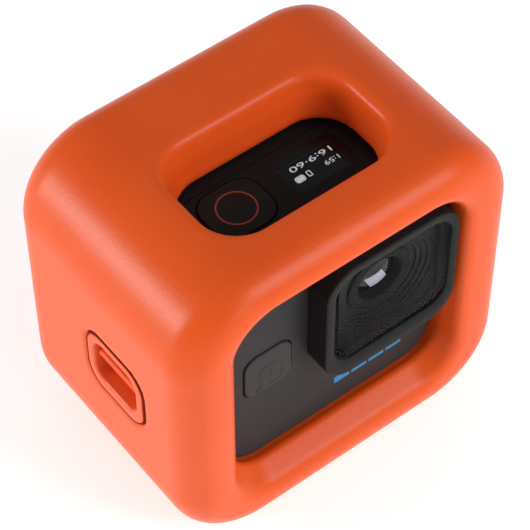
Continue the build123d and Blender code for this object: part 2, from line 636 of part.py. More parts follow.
def microphone():
    return block((-5.0, INNER_FRONT, FLOOR_Z + 2), (-1.4, INNER_FRONT + 1.1, FLOOR_Z + 4.6))


def build_all():
    save("float_case", float_case())
    save("tether_anchor", tether_anchor())
    save("front_shell", front_shell())
    save("back_shell", back_shell())
    save("shell_seal", shell_seal())
    for name, span in heat_sink_spans().items():
        save(f"heat_sink_{name}", heat_sink(*span))
    for i, (x, z) in enumerate(screw_places(), 1):
        save(f"back_screw_{i}", back_screw(x, z))
    for i, dash in enumerate(accent_dashes(), 1):
        save(f"accent_dash_{i}", dash)
    for side in ("left", "right"):
        save(f"low_finger_{side}", place_low(finger(), side))
        save(f"low_pin_{side}", place_low(finger_pin(), side))
        save(f"back_finger_{side}", place_back(finger(), side))
        save(f"back_pin_{side}", place_back(finger_pin(), side))
    save("lens_housing", lens_housing())
    save("lens_barrel", lens_barrel())
    save("lens_ring", lens_ring())
    save("front_element", lens_element(IRIS_R, 8.0, CAM_FRONT - 1.4, CAM_FRONT + 1.6))
    save("rear_element", lens_element(REAR_LENS_R, 7.0, CAM_FRONT + 3.4, CAM_FRONT + 6.0))
    save("image_sensor", image_sensor())
    save("sensor_board", sensor_board())
    save("cover_frame", cover_frame())
    save("cover_glass", cover_glass())
    save("cover_seal", cover_seal())
    save("shutter_button", shutter_button())
    save("shutter_ring", shutter_ring())
    save("shutter_switch", shutter_switch())
    save("button_board", button_board())
    save("status_button", status_button())
    save("status_switch", status_switch())
    save("status_board", status_board())
    save("status_glass", status_glass())
    save("status_panel", status_panel())
    save("door_panel", door_panel())
    save("door_latch", door_latch())
    save("door_seal", door_seal())
    save("door_pin", door_pin())
    save("charging_port", charging_port())
    save("card_reader", card_reader_block() - card_slot())
    save("memory_card", memory_card())
    save("battery", battery())
    save("battery_pad", battery_pad())
    save("main_board", main_board())
    save("processor", processor())
    save("heat_spreader", heat_spreader())
    save("speaker", speaker())
    save("microphone", microphone())


os.makedirs("parts", exist_ok=True)
build_all()
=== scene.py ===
import math

import bmesh
import bpy
from mathutils import Matrix, Vector


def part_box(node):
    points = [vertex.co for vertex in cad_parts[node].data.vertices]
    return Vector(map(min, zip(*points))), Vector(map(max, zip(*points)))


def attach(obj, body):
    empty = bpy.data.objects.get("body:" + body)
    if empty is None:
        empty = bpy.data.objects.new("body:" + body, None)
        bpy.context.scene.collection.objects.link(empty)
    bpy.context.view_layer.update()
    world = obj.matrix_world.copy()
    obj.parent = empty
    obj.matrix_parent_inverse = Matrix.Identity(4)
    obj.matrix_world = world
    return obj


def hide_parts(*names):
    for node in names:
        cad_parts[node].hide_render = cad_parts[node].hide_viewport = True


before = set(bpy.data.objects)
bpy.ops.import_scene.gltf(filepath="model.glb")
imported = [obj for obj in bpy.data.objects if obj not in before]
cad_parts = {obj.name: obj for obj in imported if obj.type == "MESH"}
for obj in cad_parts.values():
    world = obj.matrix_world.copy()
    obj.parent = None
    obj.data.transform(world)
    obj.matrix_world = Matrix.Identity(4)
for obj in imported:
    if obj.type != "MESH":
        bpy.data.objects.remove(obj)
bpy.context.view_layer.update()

MM = 0.001

# ---------------------------------------------------------------- places read from the frame
CASE_LOW, CASE_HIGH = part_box("float_case")
SHELL_LOW, SHELL_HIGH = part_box("front_shell")
ANCHOR_LOW, ANCHOR_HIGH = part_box("tether_anchor")
CASE_MID = (CASE_LOW + CASE_HIGH) / 2
ANCHOR_MID = (ANCHOR_LOW + ANCHOR_HIGH) / 2

# ---------------------------------------------------------------- sizes of the foam case
LONG_EDGE_R = 18.4 * MM         # the four long edges that run from front to back
FRONT_EDGE_R = 7.4 * MM
BACK_EDGE_R = 7.8 * MM
RIM_R = 1.7 * MM                # soft rim round each window
FOAM_FIT = 0.5 * MM             # gap between the camera and the foam
WINDOW_DEEPER = 4.0 * MM        # how far each window's cut runs on into the tunnel

# the tunnel from the back, which widens over its last stretch
TUNNEL_R = 8.0 * MM
TUNNEL_MOUTH_DEPTH = 9.0 * MM
TUNNEL_SLOPE = 0.35
TUNNEL_RIM_R = 2.2 * MM

# the front window: its throat's insets from the camera's outline, and how far each side flares
FRONT_R, FRONT_R_SLOPE = 7.6 * MM, 0.45
FRONT_INSET_LEFT, FRONT_INSET_RIGHT = 0.8 * MM, -0.5 * MM
FRONT_INSET_LOW, FRONT_INSET_HIGH = 0.8 * MM, -0.6 * MM
FRONT_FLARE_LEFT, FRONT_FLARE_RIGHT = 3.9 * MM, 1.3 * MM
FRONT_FLARE_LOW, FRONT_FLARE_HIGH = 4.4 * MM, 3.1 * MM

# the top window: half sizes at its throat, and how fast they grow with height
BUTTON_ROW = 16.0 * MM          # from the camera's front back to the middle of its top and low windows
TOP_HALF_W, TOP_SLOPE_W = 20.1 * MM, 0.115
TOP_HALF_D, TOP_SLOPE_D = 10.2 * MM, 0.25
TOP_SHIFT, TOP_LEAN = 1.7 * MM, 0.05
TOP_R = 8.6 * MM

# room left round the folding fingers and round the side door
FINGER_ROOM_X, FINGER_ROOM_Y, FINGER_WINDOW_R = 0.9 * MM, 2.0 * MM, 6.0 * MM
DOOR_ROOM_Y, DOOR_ROOM_Z, DOOR_WINDOW_R = 1.5 * MM, 2.25 * MM, 4.5 * MM

# the tether insert's corners, and the gap round it in its pocket
INSERT_R = 5.0 * MM
INSERT_GAP = 0.12 * MM

# ---------------------------------------------------------------- painted highlight on the front lens: a pale four-sided patch
GLINT_SIDE, GLINT_UP = -0.4 * MM, -0.2 * MM
GLINT_HALF_W, GLINT_HALF_H = 2.2 * MM, 1.7 * MM


# ---------------------------------------------------------------- node-tree helpers
class Tree:
    """Short names for adding and joining nodes in a material or geometry tree."""

    def __init__(self, tree):
        self.tree = tree
        tree.nodes.clear()

    def add(self, kind, props=None, **inputs):
        """A new node with its properties and its inputs set or linked."""
        node = self.tree.nodes.new(kind)
        for name, value in (props or {}).items():
            setattr(node, name, value)
        for name, value in inputs.items():
            self.put(node, name.replace("_", " "), value)
        return node

    def put(self, node, name, value):
        """Sets or links one input, called by its name or by i and its number."""
        socket = node.inputs[int(name[1:])] if name[0] == "i" and name[1:].isdigit() else node.inputs[name]
        if isinstance(value, bpy.types.NodeSocket):
            self.tree.links.new(value, socket)
        else:
            socket.default_value = value

    def math(self, operation, a, b=0.0):
        """One sum on values or sockets."""
        return self.add("ShaderNodeMath", {"operation": operation}, i0=a, i1=b).outputs[0]

    def blend(self, share, below, above):
        """One colour giving way to another as the share goes from 0 to 1."""
        return self.add("ShaderNodeMix", {"data_type": "RGBA"}, i0=share, i6=below, i7=above).outputs[2]

    def spread(self, value, low, high):
        """A value from 0 to 1 spread between low and high."""
        return self.add("ShaderNodeMapRange", Value=value, To_Min=low, To_Max=high).outputs[0]

    def ramp(self, value, *stops):
        """Colours along a value, as (place, colour) stops."""
        node = self.add("ShaderNodeValToRGB", i0=value)
        elements = node.color_ramp.elements
        while len(elements) < len(stops):
            elements.new(0.5)
        for element, (place, colour) in zip(elements, stops):
            element.position = place
            element.color = (*colour, 1.0)
        return node.outputs[0]


def material(name, **surface):
    """A new material with its Principled shader's plain values set."""
    made = bpy.data.materials.new(name)
    made.use_nodes = True
    tree = Tree(made.node_tree)
    shader = tree.add("ShaderNodeBsdfPrincipled")
    for key, value in surface.items():
        shader.inputs[key.replace("_", " ")].default_value = value
    out = tree.add("ShaderNodeOutputMaterial")
    made.node_tree.links.new(shader.outputs[0], out.inputs[0])
    return made, tree, shader


def object_place(tree, scale=(1, 1, 1)):
    """A place on the piece in metres, stretched by the scale."""
    coords = tree.add("ShaderNodeTexCoord").outputs["Object"]
    return tree.add("ShaderNodeMapping", Vector=coords, Scale=scale).outputs[0]


def tinted(colour, factor):
    """A colour made lighter or darker by a factor."""
    return tuple(min(1.0, c * factor) for c in colour)


def bump(tree, shader, height, distance, strength):
    """Fine relief from a height, with its depth in metres."""
    node = tree.add("ShaderNodeBump", Height=height, Distance=distance, Strength=strength)
    tree.put(shader, "Normal", node.outputs[0])


# ---------------------------------------------------------------- materials
def foam_skin(name, deep, light):
    """Moulded closed-cell foam: a fine matt skin with slight mottling and a soft sheen."""
    made, tree, shader = material(
        name, Specular_IOR_Level=0.22, Sheen_Weight=0.02, Sheen_Roughness=0.4,
        Sheen_Tint=(1.0, 0.62, 0.45, 1.0), Subsurface_Weight=0.05, Subsurface_Scale=0.003,
        Subsurface_Radius=(1.0, 0.30, 0.10),
    )
    place = object_place(tree)
    cloud = tree.add("ShaderNodeTexNoise", Vector=place, Scale=55.0, Detail=3.0, Roughness=0.6)
    speck = tree.add("ShaderNodeTexNoise", Vector=place, Scale=2600.0, Detail=2.0, Roughness=0.7)
    tree.put(shader, "Base Color", tree.blend(cloud.outputs[0], (*deep, 1), (*light, 1)))
    tree.put(shader, "Roughness", tree.spread(speck.outputs[0], 0.29, 0.41))
    skin = tree.add("ShaderNodeTexVoronoi", Vector=place, Scale=1900.0)
    height = tree.math("ADD", tree.math("MULTIPLY", skin.outputs[0], 0.6), speck.outputs[0])
    bump(tree, shader, height, 0.04 * MM, 0.5)
    return made


def speckled_plastic(name, colour, rough, speck, grain=1800.0, depth=0.03 * MM, shine=0.22, shade_above=None):
    """Soft-touch or spark-eroded plastic with a fine speckle, and painted shade that darkens it above the
    height shade_above if given.

    The speckle has a strength, a grain per metre and a bump depth.
    """
    made, tree, shader = material(name, Specular_IOR_Level=shine)
    place = object_place(tree)
    fine = tree.add("ShaderNodeTexNoise", Vector=place, Scale=grain, Detail=2.0, Roughness=0.65)
    cloud = tree.add("ShaderNodeTexNoise", Vector=place, Scale=90.0, Detail=2.0)
    lighter, darker = tinted(colour, 1.0 + speck * 2.2), tinted(colour, 1.0 - speck * 0.5)
    tone = tree.ramp(fine.outputs[0], (0.36, darker), (0.5, colour), (0.66, lighter))
    # painted shade: the tone darkens above the given height
    if shade_above is not None:
        up = tree.add("ShaderNodeSeparateXYZ", Vector=place).outputs[2]
        above = tree.math("GREATER_THAN", up, shade_above)
        tone = tree.blend(above, tone, (*tinted(colour, 0.35), 1))
    tree.put(shader, "Base Color", tone)
    both = tree.math("ADD", tree.math("MULTIPLY", cloud.outputs[0], 0.5), fine.outputs[0])
    tree.put(shader, "Roughness", tree.spread(both, rough - 0.08, rough + 0.06))
    bump(tree, shader, fine.outputs[0], depth, 0.45)
    return made


def brushed_metal(name, colour, rough):
    """Metal with a fine level grain."""
    made, tree, shader = material(name, Metallic=1.0)
    grain = tree.add("ShaderNodeTexNoise", Vector=object_place(tree, (60, 60, 1500)), Scale=20.0, Detail=3.0)
    tree.put(shader, "Base Color", tree.ramp(grain.outputs[0], (0.3, colour), (0.7, tinted(colour, 1.25))))
    tree.put(shader, "Roughness", tree.spread(grain.outputs[0], rough - 0.07, rough + 0.1))
    bump(tree, shader, grain.outputs[0], 0.02 * MM, 0.4)
    return made


def painted_lens_glint(tree, low, high):
    """1 inside the slanted four-sided patch of painted highlight on the lens with these box corners, and 0
    outside it.
    """
    place = tree.add("ShaderNodeSeparateXYZ", Vector=object_place(tree)).outputs
    across = tree.math("SUBTRACT", place[0], (low.x + high.x) / 2 + GLINT_SIDE)
    up = tree.math("SUBTRACT", place[2], (low.z + high.z) / 2 + GLINT_UP)
    slant = tree.math("ABSOLUTE", tree.math("ADD", across, tree.math("MULTIPLY", up, 0.5)))
    level = tree.math("ABSOLUTE", tree.math("SUBTRACT", up, tree.math("MULTIPLY", across, 0.2)))
    narrow = tree.math("LESS_THAN", slant, GLINT_HALF_W)
    return tree.math("MULTIPLY", narrow, tree.math("LESS_THAN", level, GLINT_HALF_H))


def coated_glass(name, tint, coat, rough, shine, layer, cover=1.0, stop=None):
    """Dark or see-through glass with a faint coloured coating and a few dust-fine marks.

    A lens given its box as stop shows a pale four-sided painted highlight near its middle.
    """
    made, tree, shader = material(
        name, IOR=1.5, Alpha=cover, Coat_Weight=layer, Coat_Roughness=0.03,
        Coat_Tint=(*coat, 1.0), Specular_IOR_Level=shine,
    )
    marks = tree.add("ShaderNodeTexNoise", Vector=object_place(tree), Scale=700.0, Detail=4.0)
    tone = tree.ramp(marks.outputs[0], (0.3, tint), (0.8, tinted(tint, 1.2)))
    if stop:
        # painted highlight: a pale four-sided patch near the lens's middle
        tone = tree.blend(painted_lens_glint(tree, *stop), tone, (0.66, 0.66, 0.70, 1))
    tree.put(shader, "Base Color", tone)
    tree.put(shader, "Roughness", tree.spread(marks.outputs[0], rough, rough + 0.05))
    return made


def inlay(name, colour, rough, glow=0.0):
    """Flat coloured ink, paint or lit figures."""
    made, tree, shader = material(name, Emission_Color=(*colour, 1.0), Emission_Strength=glow)
    grain = tree.add("ShaderNodeTexNoise", Vector=object_place(tree), Scale=900.0, Detail=2.0)
    tree.put(shader, "Base Color", tree.ramp(grain.outputs[0], (0.35, colour), (0.65, tinted(colour, 1.15))))
    tree.put(shader, "Roughness", tree.spread(grain.outputs[0], rough - 0.05, rough + 0.08))
    return made


TOP_SHADE_HEIGHT = SHELL_HIGH.z - 0.25 * MM     # painted shade: above this height the camera's plastics are darker, as on the shaded top
ORANGE = (0.80, 0.088, 0.010)
FOAM = foam_skin("orange foam", ORANGE, (0.87, 0.112, 0.014))
INSERT = speckled_plastic("orange insert", ORANGE, 0.34, 0.03, 1500.0, 0.002 * MM, 0.34)
# painted shade: the foam's orange at about a third of its brightness, for the seam's gap
SEAM_SHADE = speckled_plastic("seam shade", (0.27, 0.033, 0.009), 0.7, 0.1, 1500.0, 0.005 * MM, 0.1)
BODY = speckled_plastic(
    "dark soft touch", (0.030, 0.029, 0.029), 0.50, 0.14, 2300.0, 0.01 * MM, 0.13, TOP_SHADE_HEIGHT)
TRIM = speckled_plastic(
    "cover frame plastic", (0.014, 0.015, 0.015), 0.36, 0.10, 2600.0, 0.005 * MM, 0.05)
BUTTON = speckled_plastic(
    "button plastic", (0.032, 0.032, 0.032), 0.46, 0.12, 2300.0, 0.01 * MM, 0.16, TOP_SHADE_HEIGHT)
PRINT_AND_SHADE = speckled_plastic(
    "black print and shade", (0.0022, 0.0022, 0.0022), 0.7, 0.05, 1500.0, 0.002 * MM, 0.0)
BAFFLE = speckled_plastic(
    "baffle black", (0.014, 0.015, 0.015), 0.36, 0.02, 250.0, 0.001 * MM, 0.10)
BLACK = speckled_plastic("lens black", (0.008, 0.008, 0.009), 0.42, 0.1, 2600.0, 0.003 * MM)
CHIP = speckled_plastic("chip black", (0.012, 0.012, 0.013), 0.45, 0.3)
RUBBER = speckled_plastic("seal rubber", (0.010, 0.010, 0.010), 0.7, 0.3)
PAD = speckled_plastic("foam tape", (0.06, 0.06, 0.06), 0.8, 0.3)
WRAP = speckled_plastic("cell wrap", (0.03, 0.045, 0.08), 0.3, 0.1)
BOARD = speckled_plastic("board lacquer", (0.010, 0.075, 0.035), 0.35, 0.25)
CARD = speckled_plastic("card body", (0.012, 0.012, 0.014), 0.35, 0.2)
RING_RED = inlay("dark red ring", (0.30, 0.035, 0.022), 0.4)
# the printed blue bars glow faintly: painted light, as the ink is no lamp
BLUE = inlay("blue bar", (0.001, 0.19, 0.40), 0.5, 0.03)
READOUT = inlay("screen readout", (0.85, 0.88, 0.9), 0.4, 1.1)
ICON = inlay("icon ink", (0.004, 0.004, 0.004), 0.6)
ANODISED = brushed_metal("black anodised", (0.045, 0.045, 0.048), 0.42)
STEEL = brushed_metal("plain steel", (0.50, 0.50, 0.52), 0.3)
COPPER = brushed_metal("copper sheet", (0.70, 0.36, 0.20), 0.3)
COVER_PANE = coated_glass(
    "cover pane", (0.010, 0.010, 0.011), (0.90, 0.93, 1.0), rough=0.03, shine=0.1, layer=0.0, cover=0.12)
LENS = coated_glass(
    "lens glass", (0.006, 0.006, 0.008), (0.86, 0.84, 1.0), rough=0.01, shine=0.3, layer=0.5,
    stop=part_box("front_element"))
SCREEN = coated_glass(
    "screen glass", (0.004, 0.004, 0.005), (0.95, 0.97, 1.0), rough=0.03, shine=0.4, layer=0.2, cover=0.35)
PANEL = coated_glass(
    "display panel", (0.003, 0.003, 0.004), (0.9, 0.9, 1.0), rough=0.12, shine=0.3, layer=0.0)


# ---------------------------------------------------------------- mesh helpers
def new_object(name, mesh):
    """An object at the origin, linked to the scene."""
    made = bpy.data.objects.new(name, mesh)
    bpy.context.scene.collection.objects.link(made)
    return made


def from_bmesh(name, bm, smooth_angle=35.0):
    """A shaded object from a bmesh, with its faces turned outwards."""
    mesh = bpy.data.meshes.new(name)
    bmesh.ops.recalc_face_normals(bm, faces=bm.faces)
    bm.to_mesh(mesh)
    bm.free()
    return shaded(new_object(name, mesh), smooth_angle)


def shaded(piece, angle=35.0):
    """Smooth shading that breaks at edges sharper than the angle."""
    mesh = piece.data
    mesh.shade_smooth()
    mesh.set_sharp_from_angle(angle=math.radians(angle))
    return piece


def finish(piece, look, body, *nodes, slot=None):
    """Gives a piece its material, the body it rides on and the nodes it stands for. The slot is not used."""
    piece.data.materials.clear()
    piece.data.materials.append(look)
    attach(piece, body)
    if nodes:
        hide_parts(*nodes)


def evaluated(piece, name):
    """A plain mesh object holding what a piece's modifiers make. The source is removed."""
    bpy.context.view_layer.update()
    graph = bpy.context.evaluated_depsgraph_get()
    mesh = bpy.data.meshes.new_from_object(piece.evaluated_get(graph), depsgraph=graph)
    mesh.name = name
    bpy.data.objects.remove(piece)
    return new_object(name, mesh)


def rounded_outline(w, h, r, steps):
    """Points round a rounded rectangle, anticlockwise, centred on (0, 0), with steps to a corner."""
    points = []
    for sx, sy, start in ((1, 1, 0), (-1, 1, 90), (-1, -1, 180), (1, -1, 270)):
        for i in range(steps + 1):
            a = math.radians(start + 90 * i / steps)
            points.append((sx * (w / 2 - r) + r * math.cos(a), sy * (h / 2 - r) + r * math.sin(a)))
    return points


def boxed(node):
    """A node's middle, with its front face's y, and its size in millimetres."""
    low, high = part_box(node)
    middle = (low + high) / 2
    return Vector((middle.x, low.y, middle.z)), (high - low) / MM


# a point from a face's centre, sideways and up as seen from outside, and a depth into the face
FACING = {
    "front": lambda c, u, v, d: Vector((c[0] + u, c[1] + d, c[2] + v)),
    "left": lambda c, u, v, d: Vector((c[0] + d, c[1] - u, c[2] + v)),
    "top": lambda c, u, v, d: Vector((c[0] + u, c[1] + v, c[2] - d)),
}


def stepped(name, facing, centre, rings, hollow=False, steps=12, smooth_angle=35.0):
    """A solid skinned over rounded-rectangle rings, all sizes in millimetres.

    A ring is (width, height, corner radius, depth) and may end in a sideways and an upward shift.
    A hollow solid joins its last ring back to its first, and any other is capped at both ends.
    """
    bm = bmesh.new()
    place = FACING[facing]
    least = 0.002       # each side keeps at least this half length between its corners
    loops = []
    for w, h, r, depth, *shift in rings:
        du, dv = shift or (0, 0)
        outline = rounded_outline(w, h, min(r, w / 2 - least, h / 2 - least), steps)
        spots = [place(centre, (u + du) * MM, (v + dv) * MM, depth * MM) for u, v in outline]
        loops.append([bm.verts.new(spot) for spot in spots])
    count = len(loops[0])
    pairs = list(zip(loops, loops[1:])) + ([(loops[-1], loops[0])] if hollow else [])
    for a, b in pairs:
        for i in range(count):
            j = (i + 1) % count
            bm.faces.new((a[i], a[j], b[j], b[i]))
    if not hollow:
        bm.faces.new(loops[0])
        bm.faces.new(loops[-1][::-1])
    return from_bmesh(name, bm, smooth_angle)


def circle(r, depth):
    """A round ring for stepped."""
    return (2 * r, 2 * r, r, depth)


def turned(name, centre, profile, steps=96):
    """A closed ring or disc turned about the lens axis, from (radius, depth) points in millimetres."""
    bm = bmesh.new()
    rows = []
    for r, depth in profile:
        y = centre[1] + depth * MM
        if not r:
            rows.append([bm.verts.new((centre[0], y, centre[2]))] * steps)
            continue
        row = []
        for i in range(steps):
            a = 2 * math.pi * i / steps
            row.append(bm.verts.new((centre[0] + r * MM * math.cos(a), y, centre[2] + r * MM * math.sin(a))))
        rows.append(row)
    on_axis = not profile[0][0] and not profile[-1][0]
    pairs = list(zip(rows, rows[1:])) + ([] if on_axis else [(rows[-1], rows[0])])
    for a, b in pairs:
        for i in range(steps):
            j = (i + 1) % steps
            corners = []
            for vert in (a[i], a[j], b[j], b[i]):
                if vert not in corners:
                    corners.append(vert)
            if len(corners) > 2:
                bm.faces.new(corners)
    return from_bmesh(name, bm, 30.0)


def refined(node, name, bevel):
    """A merged, softly bevelled copy of a CAD node, with clean smooth shading."""
    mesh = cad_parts[node].data.copy()
    bm = bmesh.new()
    bm.from_mesh(mesh)
    bmesh.ops.remove_doubles(bm, verts=bm.verts, dist=1e-6)
    bmesh.ops.dissolve_limit(bm, angle_limit=math.radians(1.0), verts=bm.verts, edges=bm.edges)
    bm.to_mesh(mesh)
    bm.free()
    mesh.name = name
    piece = shaded(new_object(name, mesh), 30.0)
    rim = piece.modifiers.new("rim", "BEVEL")
    rim.width = bevel
    rim.segments = 2
    rim.limit_method = "ANGLE"
    rim.angle_limit = math.radians(40)
    rim.harden_normals = True
    rim.use_clamp_overlap = True
    return evaluated(piece, name)


# ---------------------------------------------------------------- foam case, one rule for its whole shape
class Shape(Tree):
    """Distance-field steps for the geometry tree that makes the foam case."""

    def axes(self, shift):
        """The three coordinates, measured from a point."""
        place = self.add("GeometryNodeInputPosition").outputs[0]
        moved = self.add("ShaderNodeVectorMath", {"operation": "SUBTRACT"}, i0=place, i1=shift)
        split = self.add("ShaderNodeSeparateXYZ", i0=moved.outputs[0])
        return split.outputs

    def corner(self, a, b, r):
        """Distance to where both a and b are negative, with the meeting edge rounded by r."""
        over_a = self.math("MAXIMUM", self.math("ADD", a, r), 0.0)
        over_b = self.math("MAXIMUM", self.math("ADD", b, r), 0.0)
        square_a, square_b = (self.math("MULTIPLY", over, over) for over in (over_a, over_b))
        outside = self.math("SQRT", self.math("ADD", square_a, square_b))
        inside = self.math("MINIMUM", self.math("ADD", self.math("MAXIMUM", a, b), r), 0.0)
        return self.math("SUBTRACT", self.math("ADD", outside, inside), r)

    def strip(self, value, half):
        """Distance to a slab that reaches half its thickness either way."""
        return self.math("SUBTRACT", self.math("ABSOLUTE", value), half)

    def tube(self, u, v, half_u, half_v, r):
        """Distance to an endless tube of rounded-rectangle section."""
        return self.corner(self.strip(u, half_u), self.strip(v, half_v), r)

    def cut(self, solid, hollow, r):
        """A solid less a hollow, with the rim of the hole rounded by r."""
        return self.corner(solid, self.math("MULTIPLY", hollow, -1.0), r)

    def past(self, value, limit):
        """How far a value is past a limit, and 0 before it."""
        return self.math("MAXIMUM", self.math("SUBTRACT", value, limit), 0.0)

    def widened(self, half, depth, slope):
        """A half size that grows with depth."""
        return self.math("ADD", self.math("MULTIPLY", depth, slope), half)

    def leaning(self, value, middle, depth, slope):
        """A value measured from a middle line that leans over with depth."""
        centred = self.math("SUBTRACT", value, middle)
        return self.math("SUBTRACT", centred, self.math("MULTIPLY", depth, slope))

    def slanted(self, distance, depth, slope):
        """Widens a hollow with distance out from its throat."""
        wide = self.math("SUBTRACT", distance, self.math("MULTIPLY", depth, slope))
        return self.math("DIVIDE", wide, math.sqrt(1 + slope * slope))


def case_tree(voxel, look):
    """The case as a distance field: a rounded block less its windows, each rim rounded."""
    group = bpy.data.node_groups.new("foam case", "GeometryNodeTree")
    group.interface.new_socket("Geometry", in_out="OUTPUT", socket_type="NodeSocketGeometry")
    sizes = {
        "Long edge radius": LONG_EDGE_R, "Front edge radius": FRONT_EDGE_R, "Back edge radius": BACK_EDGE_R,
        "Rim radius": RIM_R, "Foam fit": FOAM_FIT,
    }
    for name, value in sizes.items():
        socket = group.interface.new_socket(name, in_out="INPUT", socket_type="NodeSocketFloat")
        socket.default_value = value
    t = Shape(group)
    given = t.add("NodeGroupInput").outputs
    x, y, z = t.axes(CASE_MID)
    blunt = 0.5 * MM        # rounding of the inner ends, which stay out of sight

    # the rounded block
    size = CASE_HIGH - CASE_LOW
    section = t.tube(x, z, size.x / 2, size.z / 2, given["Long edge radius"])
    ahead = t.math("SUBTRACT", t.math("MULTIPLY", y, -1.0), size.y / 2)
    behind = t.math("SUBTRACT", y, size.y / 2)
    body = t.corner(section, ahead, given["Front edge radius"])
    body = t.corner(body, behind, given["Back edge radius"])

    # the camera's place in the block
    shell_front = SHELL_LOW.y - CASE_MID.y
    cam_z = (SHELL_LOW.z + SHELL_HIGH.z) / 2 - CASE_MID.z
    cam_half_x, cam_half_z = SHELL_HIGH.x, (SHELL_HIGH.z - SHELL_LOW.z) / 2
    cam_top, cam_low = cam_z + cam_half_z, cam_z - cam_half_z
    window_y = shell_front + BUTTON_ROW
    seat = t.math("SUBTRACT", shell_front, given["Foam fit"])

    # back tunnel, which the camera slides through
    half_w, half_h = (t.math("ADD", given["Foam fit"], half) for half in (cam_half_x, cam_half_z))
    tunnel = t.tube(x, t.math("SUBTRACT", z, cam_z), half_w, half_h, TUNNEL_R)
    tunnel = t.slanted(tunnel, t.past(y, size.y / 2 - TUNNEL_MOUTH_DEPTH), TUNNEL_SLOPE)
    tunnel = t.corner(tunnel, t.math("SUBTRACT", seat, y), 0.8 * MM)

    # front window, which flares by its own amount on each side
    left, right = -cam_half_x + FRONT_INSET_LEFT, cam_half_x - FRONT_INSET_RIGHT
    low, high = cam_low + FRONT_INSET_LOW, cam_top - FRONT_INSET_HIGH
    depth = t.past(seat, y)
    reach = size.y / 2 + shell_front - FOAM_FIT
    u = t.leaning(x, (left + right) / 2, depth, (FRONT_FLARE_RIGHT - FRONT_FLARE_LEFT) / 2 / reach)
    v = t.leaning(z, (low + high) / 2, depth, (FRONT_FLARE_HIGH - FRONT_FLARE_LOW) / 2 / reach)
    half_u = t.widened((right - left) / 2, depth, (FRONT_FLARE_LEFT + FRONT_FLARE_RIGHT) / 2 / reach)
    half_v = t.widened((high - low) / 2, depth, (FRONT_FLARE_LOW + FRONT_FLARE_HIGH) / 2 / reach)
    front = t.tube(u, v, half_u, half_v, t.widened(FRONT_R, depth, FRONT_R_SLOPE))
    front = t.corner(front, t.math("SUBTRACT", y, shell_front + WINDOW_DEEPER), blunt)

    # top window, over the shutter button and the screen
    lift = t.past(z, cam_top)
    over = t.tube(
        x, t.leaning(y, window_y + TOP_SHIFT, lift, TOP_LEAN),
        t.widened(TOP_HALF_W, lift, TOP_SLOPE_W), t.widened(TOP_HALF_D, lift, TOP_SLOPE_D), TOP_R,
    )
    over = t.corner(over, t.math("SUBTRACT", cam_top - WINDOW_DEEPER, z), blunt)

    # window under the folding fingers
    fingers_low, fingers_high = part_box("low_finger_left")
    under = t.tube(
        x, t.math("SUBTRACT", y, window_y),
        -fingers_low.x + FINGER_ROOM_X, (fingers_high.y - fingers_low.y) / 2 + FINGER_ROOM_Y,
        FINGER_WINDOW_R,
    )
    under = t.corner(under, t.math("SUBTRACT", z, cam_low + WINDOW_DEEPER), blunt)

    # window over the side door
    door_low, door_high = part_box("door_panel")
    door_mid, door_size = (door_low + door_high) / 2 - CASE_MID, door_high - door_low
    side = t.tube(
        t.math("SUBTRACT", y, door_mid.y), t.math("SUBTRACT", z, door_mid.z),
        door_size.y / 2 + DOOR_ROOM_Y, door_size.z / 2 + DOOR_ROOM_Z, DOOR_WINDOW_R,
    )
    side = t.corner(side, t.math("SUBTRACT", cam_half_x - WINDOW_DEEPER, x), blunt)

    # pocket that holds the tether insert
    anchor, anchor_size = ANCHOR_MID - CASE_MID, ANCHOR_HIGH - ANCHOR_LOW
    pocket = t.tube(
        t.math("SUBTRACT", y, anchor.y), t.math("SUBTRACT", z, anchor.z),
        anchor_size.y / 2 + INSERT_GAP, anchor_size.z / 2 + INSERT_GAP, INSERT_R,
    )
    pocket = t.corner(pocket, t.math("SUBTRACT", x, ANCHOR_HIGH.x - CASE_MID.x + 0.1 * MM), 0.4 * MM)

    body = t.cut(body, tunnel, TUNNEL_RIM_R)
    for hollow in (front, over, under, side):
        body = t.cut(body, hollow, given["Rim radius"])
    body = t.cut(body, pocket, 0.7 * MM)

    # the field in millimetres, positive inside, sampled on a grid and skinned
    density = t.math("MULTIPLY", body, -1000.0)
    margin = Vector((2.4 * MM,) * 3)
    counts = [math.ceil((b - a + 2 * margin.x) / voxel) for a, b in zip(CASE_LOW, CASE_HIGH)]
    cube = t.add(
        "GeometryNodeVolumeCube", Density=density, Background=-3.0,
        Min=tuple(CASE_LOW - margin), Max=tuple(CASE_HIGH + margin),
        Resolution_X=counts[0], Resolution_Y=counts[1], Resolution_Z=counts[2],
    )
    skin = t.add(
        "GeometryNodeVolumeToMesh", {"resolution_mode": "GRID"}, Volume=cube.outputs[0], Threshold=0.0,
    )
    smooth = t.add("GeometryNodeSetShadeSmooth", i0=skin.outputs[0])
    real = t.add("GeometryNodeRealizeInstances", i0=smooth.outputs[0])
    dressed = t.add("GeometryNodeSetMaterial", i0=real.outputs[0], Material=look)
    out = t.add("NodeGroupOutput")
    group.links.new(dressed.outputs[0], out.inputs[0])
    return group


def foam_case():
    """The one-piece float case, as padded foam."""
    voxel = 0.75 * MM
    holder = new_object("foam case source", bpy.data.meshes.new("foam case source"))
    holder.modifiers.new("foam case", "NODES").node_group = case_tree(voxel, FOAM)
    piece = evaluated(holder, "foam_case")
    finish(piece, FOAM, "case", "float_case", slot="case_foam")


foam_case()


